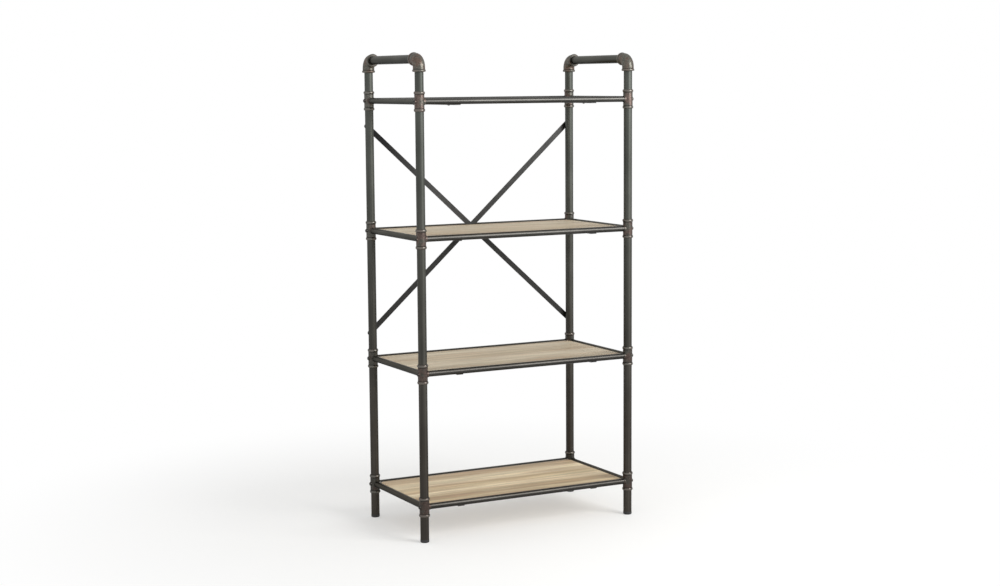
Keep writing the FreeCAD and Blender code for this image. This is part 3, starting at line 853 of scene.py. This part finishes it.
@dataclass(frozen=True)
class Fastener:
    """A rounded head on a plain shank, modelled head up at the origin and copied to its places."""

    name: str
    node: str
    head_radius: float
    head_height: float
    rounding: float
    shank_radius: float
    shank_length: float
    drive: Drive = Drive.PLAIN
    drive_width: float = 0.0
    drive_depth: float = 0.0
    sides: int = 40
    rounding_steps: int = 5
    # The tip's taper in shares of the shank's radius, and a cross blade's thickness as a share of its width.
    tip_inset: float = 0.12
    tip_reach: float = 0.2
    blade_share: float = 0.24
    smooth_below: float = math.radians(35)

    def model(self) -> bpy.types.Object:
        """Model the fastener with its seat at the origin and its head towards +Z.

        Returns:
            The finished object.
        """
        deselect()
        bpy.ops.mesh.primitive_cylinder_add(
            vertices=self.sides, radius=self.head_radius, depth=self.head_height,
            location=(0, 0, self.head_height / 2),
        )
        made = bpy.context.object
        made.name = self.name
        bpy.ops.object.transform_apply(location=True, rotation=True, scale=True)
        self._pull_shank(made)
        self._round_crown(made)
        if self.drive is not Drive.PLAIN:
            self._cut_drive(made)
        bpy.ops.object.shade_smooth_by_angle(angle=self.smooth_below)
        return made

    def _select_face(self, made: bpy.types.Object, height: float) -> None:
        """Select the flat faces at one height, in edit mode.

        Args:
            made: The fastener.
            height: The height of the faces.
        """
        bpy.ops.object.mode_set(mode="EDIT")
        bpy.ops.mesh.select_mode(type="FACE")
        bpy.ops.mesh.select_all(action="DESELECT")
        bpy.ops.object.mode_set(mode="OBJECT")
        for face in made.data.polygons:
            face.select = abs(face.normal.z) > FLAT_FACE and abs(face.center.z - height) < SAME_HEIGHT
        bpy.ops.object.mode_set(mode="EDIT")

    def _pull_shank(self, made: bpy.types.Object) -> None:
        """Inset the underside of the head, extrude the shank from it and taper its tip.

        Args:
            made: The fastener.
        """
        self._select_face(made, 0)
        bpy.ops.mesh.inset(thickness=self.head_radius - self.shank_radius)
        bpy.ops.mesh.extrude_region_move(TRANSFORM_OT_translate={"value": (0, 0, -self.shank_length)})
        bpy.ops.mesh.inset(thickness=self.tip_inset * self.shank_radius)
        bpy.ops.transform.translate(value=(0, 0, -self.tip_reach * self.shank_radius))
        bpy.ops.object.mode_set(mode="OBJECT")

    def _round_crown(self, made: bpy.types.Object) -> None:
        """Round the rim of the head.

        Args:
            made: The fastener.
        """
        self._select_face(made, self.head_height)
        bpy.ops.mesh.select_mode(type="EDGE")
        bpy.ops.mesh.region_to_loop()
        bpy.ops.mesh.bevel(offset=self.rounding, segments=self.rounding_steps, affect="EDGES")
        bpy.ops.object.mode_set(mode="OBJECT")

    def _drive_cutters(self) -> list[bpy.types.Object]:
        """Make what cuts the socket or the cross.

        Returns:
            A hexagonal bar, or two crossed blades.
        """
        crown = (0, 0, self.head_height)
        if self.drive is Drive.HEX_SOCKET:
            bpy.ops.mesh.primitive_cylinder_add(
                vertices=6, radius=self.drive_width / math.sqrt(3), depth=2 * self.drive_depth,
                location=crown,
            )
            return [bpy.context.object]
        cutters = []
        for turn in (0, math.pi / 2):
            bpy.ops.mesh.primitive_cube_add(size=1, location=crown, rotation=(0, 0, turn))
            blade = bpy.context.object
            blade.scale = (self.drive_width, self.blade_share * self.drive_width, 2 * self.drive_depth)
            cutters.append(blade)
        return cutters

    def _cut_drive(self, made: bpy.types.Object) -> None:
        """Cut the socket or the cross into the crown.

        Args:
            made: The fastener.
        """
        deselect()
        for cutter in self._drive_cutters():
            cut = made.modifiers.new("drive", "BOOLEAN")
            cut.operation = "DIFFERENCE"
            cut.solver = "EXACT"
            cut.object = cutter
            deselect()
            made.select_set(True)
            bpy.context.view_layer.objects.active = made
            bpy.ops.object.modifier_apply(modifier=cut.name)
            bpy.data.objects.remove(cutter)

    def place(
        self, pattern: bpy.types.Object, name: str, spot: Vector, towards: Vector, finish: Material,
    ) -> str:
        """Copy the modelled fastener to one place.

        Args:
            pattern: The modelled fastener.
            name: The copy's name.
            spot: Where its seat lies.
            towards: The way its head points.
            finish: Its material.

        Returns:
            The copy's name.
        """
        copy = pattern.copy()
        copy.data = pattern.data.copy()
        copy.name = name
        turn = towards.to_track_quat("Z", "Y").to_matrix().to_4x4()
        copy.data.transform(Matrix.Translation(spot) @ turn)
        copy.data.materials.clear()
        copy.data.materials.append(finish)
        bpy.context.scene.collection.objects.link(copy)
        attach(copy, BODY)
        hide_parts(self.node)
        return name


@dataclass(frozen=True)
class Places:
    """Where the frame's lines lie, in metres, as the CAD has them."""

    post_x: float = 0.437
    post_y: float = 0.2225
    bottom_z: float = BOTTOM_Z
    shelf_pitch: float = SHELF_PITCH
    bolt_seat: float = 0.0192
    strap_x: float = 0.285
    screw_y: float = 0.150
    strap_underside: float = -0.014
    brace_seat: float = 0.020
    brace_inset: float = 0.098
    lap_seat: float = 0.0243

    def level(self, shelf: str) -> float:
        """The height of a level's rails."""
        return self.bottom_z + LEVELS.index(shelf) * self.shelf_pitch


@dataclass
class Hardware:
    """Every fastener that shows: shelf bolts, brace screws, the crossing's rivet and panel screws."""

    at: Places = Places()
    blacking: PaintedBar = PaintedBar("blacked_screw", HeightShadedTone("#3A3734", "#4A4845"), mottle_mm=6.0)
    shelf_bolt: Fastener = Fastener(
        "shelf_bolt", "shelf_bolts", head_radius=0.0065, head_height=0.0032, rounding=0.0018,
        shank_radius=0.004, shank_length=0.0605,
        drive=Drive.HEX_SOCKET, drive_width=0.005, drive_depth=0.002,
    )
    brace_screw: Fastener = Fastener(
        "brace_screw", "brace_fixings", head_radius=0.0055, head_height=0.003, rounding=0.0015,
        shank_radius=0.003, shank_length=0.013,
        drive=Drive.HEX_SOCKET, drive_width=0.004, drive_depth=0.0018,
    )
    brace_rivet: Fastener = Fastener(
        "brace_rivet", "brace_fixings", head_radius=0.0055, head_height=0.002, rounding=0.0014,
        shank_radius=0.003, shank_length=0.0083,
    )
    panel_screw: Fastener = Fastener(
        "panel_screw", "panel_screws", head_radius=0.004, head_height=0.0025, rounding=0.0012,
        shank_radius=0.002, shank_length=0.0135,
        drive=Drive.CROSS, drive_width=0.0042, drive_depth=0.0012, sides=28,
    )

    def build(self) -> list[str]:
        """Model each kind once and copy it to its places.

        Returns:
            The names of the copies.
        """
        finish = self.blacking.material()
        kinds = (
            (self.shelf_bolt, self._bolt_spots()),
            (self.brace_screw, self._brace_screw_spots()),
            (self.brace_rivet, self._rivet_spots()),
            (self.panel_screw, self._panel_screw_spots()),
        )
        made = []
        for kind, spots in kinds:
            pattern = kind.model()
            for name, (spot, towards) in spots.items():
                made.append(kind.place(pattern, name, spot, towards, finish))
            bpy.data.objects.remove(pattern)
        return made

    def _bolt_spots(self) -> dict[str, tuple[Vector, Vector]]:
        """Find the seats of the button-head bolts on the outer side of every sleeve.

        Returns:
            Where each seat lies and the way its head points, by the bolt's name.
        """
        spots = {}
        for corner, (side, depth) in CORNERS.items():
            for shelf in LEVELS:
                seat = side * (self.at.post_x + self.at.bolt_seat)
                spot = Vector((seat, depth * self.at.post_y, self.at.level(shelf)))
                spots[f"bolt_{shelf}_{corner}"] = (spot, Vector((side, 0, 0)))
        return spots

    def _brace_screw_spots(self) -> dict[str, tuple[Vector, Vector]]:
        """Find the seats of the button-head screws at the brace's ends.

        Returns:
            Where each seat lies and the way its head points, by the screw's name.
        """
        heights = {
            "upper": self.at.level("top") - self.at.brace_inset,
            "lower": self.at.level("lower") + self.at.brace_inset,
        }
        spots = {}
        for end, height in heights.items():
            for side, sign in SIDES.items():
                spot = Vector((sign * self.at.post_x, self.at.post_y + self.at.brace_seat, height))
                spots[f"brace_screw_{end}_{side}"] = (spot, Vector((0, 1, 0)))
        return spots

    def _rivet_spots(self) -> dict[str, tuple[Vector, Vector]]:
        """Find both seats of the rivet where the bars cross.

        Returns:
            Where each seat lies and the way its head points, by the head's name.
        """
        rear = Vector((0, self.at.post_y + self.at.lap_seat, self.at.level("upper")))
        back = Vector((0, 1, 0))
        return {
            "brace_rivet_rear": (rear, back),
            "brace_rivet_front": (rear - self.brace_rivet.shank_length * back, -back),
        }

    def _panel_screw_spots(self) -> dict[str, tuple[Vector, Vector]]:
        """Find the seats of the pan-head screws under the straps.

        Returns:
            Where each seat lies and the way its head points, by the screw's name.
        """
        spots = {}
        for shelf in LEVELS:
            height = self.at.level(shelf) + self.at.strap_underside
            for corner, (side, depth) in CORNERS.items():
                spot = Vector((side * self.at.strap_x, depth * self.at.screw_y, height))
                spots[f"panel_screw_{shelf}_{corner}"] = (spot, Vector((0, 0, -1)))
        return spots


@dataclass
class Studio:
    """A pale floor, an even white surround and one large soft lamp in front, to the right."""

    camera_azimuth: float = math.radians(-27.8580)
    camera_pitch: float = math.radians(-6.7800)
    camera_roll: float = math.radians(-0.4196)
    camera_distance: float = 6.7759
    camera_height: float = 1.6770
    focal_px: float = 1778.662
    picture_width_px: int = 1000
    sensor_mm: float = 36.0
    clip_end: float = 100.0
    surround_strength: float = 0.72
    floor_size: float = 30.0
    floor_colour: str = "#F6F6F4"
    near_white_share: float = 0.4
    near_reach: float = 0.6
    far_reach: float = 2.2
    lamp_spot: tuple[float, float, float] = (2.04, -3.67, 2.7)
    lamp_size: tuple[float, float] = (2.4, 2.6)
    lamp_watts: float = 165.0
    aim_height: float = 0.9

    def build(self) -> None:
        """Set the camera, the surround, the floor and the lamp."""
        self._camera()
        self._surround()
        self._floor()
        self._lamp()
        bpy.context.scene.view_settings.view_transform = "Standard"

    def _camera(self) -> None:
        """Set a camera at the photograph's viewing angle."""
        data = bpy.data.cameras.new("camera")
        data.sensor_fit = "HORIZONTAL"
        data.sensor_width = self.sensor_mm
        data.lens = self.focal_px / self.picture_width_px * self.sensor_mm
        data.clip_end = self.clip_end
        camera = bpy.data.objects.new("camera", data)
        turn = Euler((math.pi / 2 + self.camera_pitch, 0, self.camera_azimuth)).to_matrix()
        turn = turn @ Matrix.Rotation(self.camera_roll, 3, "Z")
        ahead = Vector((-math.sin(self.camera_azimuth), math.cos(self.camera_azimuth), 0))
        place = -ahead * self.camera_distance + Vector((0, 0, self.camera_height))
        camera.matrix_world = Matrix.Translation(place) @ turn.to_4x4()
        bpy.context.scene.collection.objects.link(camera)
        bpy.context.scene.camera = camera

    def _seen(self, tree: Tree) -> Socket:
        """Tell whether a ray comes straight from the eye, or by way of a mirror or glass.

        Args:
            tree: The node tree of the surround or the floor.

        Returns:
            One where it does, otherwise 0.
        """
        path = add_node(tree, "ShaderNodeLightPath")
        glossy = add_node(tree, "ShaderNodeMath", {"operation": "MAXIMUM"}, {
            0: path.outputs["Is Camera Ray"], 1: path.outputs["Is Glossy Ray"],
        })
        both = add_node(tree, "ShaderNodeMath", {"operation": "MAXIMUM"}, {
            0: glossy.outputs["Value"], 1: path.outputs["Is Transmission Ray"],
        })
        return both.outputs["Value"]

    def _surround(self) -> None:
        """Set an even white world, seen white and giving the object plain light."""
        world = bpy.data.worlds.new("surround")
        world.use_nodes = True
        tree = world.node_tree
        tree.nodes.clear()
        strength = add_node(tree, "ShaderNodeMapRange", inputs={
            "Value": self._seen(tree), "To Min": self.surround_strength, "To Max": WHOLE,
        })
        light = add_node(tree, "ShaderNodeBackground", inputs={
            "Color": WHITE, "Strength": strength.outputs["Result"],
        })
        add_node(tree, "ShaderNodeOutputWorld", inputs={"Surface": light.outputs["Background"]})
        bpy.context.scene.world = world

    def _floor(self) -> None:
        """Lay a pale floor that holds the shadow near the object and fades to the white surround."""
        deselect()
        bpy.ops.mesh.primitive_plane_add(size=self.floor_size, location=(0, 0, 0))
        floor = bpy.context.object
        floor.name = "floor"
        material, tree = fresh_material("pale_floor")
        place = add_node(tree, "ShaderNodeTexCoord").outputs["Object"]
        reach = add_node(tree, "ShaderNodeVectorMath", {"operation": "LENGTH"}, {0: place})
        far = add_node(tree, "ShaderNodeMapRange", {"interpolation_type": "SMOOTHSTEP"}, {
            "Value": reach.outputs["Value"], "From Min": self.near_reach, "From Max": self.far_reach,
            "To Min": self.near_white_share,
        })
        white = add_node(tree, "ShaderNodeMath", {"operation": "MULTIPLY"}, {
            0: far.outputs["Result"], 1: self._seen(tree),
        })
        matt = add_node(tree, "ShaderNodeBsdfDiffuse", inputs={"Color": linear(self.floor_colour)})
        glow = add_node(tree, "ShaderNodeEmission", inputs={"Color": WHITE, "Strength": WHOLE})
        mixed = add_node(tree, "ShaderNodeMixShader", inputs={
            0: white.outputs["Value"], 1: matt.outputs["BSDF"], 2: glow.outputs["Emission"],
        })
        add_node(tree, "ShaderNodeOutputMaterial", inputs={"Surface": mixed.outputs["Shader"]})
        floor.data.materials.append(material)

    def _lamp(self) -> None:
        """Hang a soft rectangular lamp aimed at the object's middle."""
        data = bpy.data.lights.new("key", "AREA")
        data.shape = "RECTANGLE"
        data.size, data.size_y = self.lamp_size
        data.energy = self.lamp_watts
        lamp = bpy.data.objects.new("key", data)
        aim = Vector((0, 0, self.aim_height)) - Vector(self.lamp_spot)
        turn = aim.to_track_quat("-Z", "Y").to_matrix().to_4x4()
        lamp.matrix_world = Matrix.Translation(self.lamp_spot) @ turn
        bpy.context.scene.collection.objects.link(lamp)


def main() -> None:
    """Dress the frame, build the pieces in order and set the studio."""
    logging.basicConfig(level=logging.INFO, format="%(name)s: %(message)s")
    for assembly in (Feet(), EndFrames(), LongRails(), Boards(), CrossBrace(), Hardware()):
        for piece in assembly.build():
            LOG.info("%s: %s", type(assembly).__name__, piece)
    Studio().build()
    LOG.info("studio set")


if __name__ == "__main__":
    main()
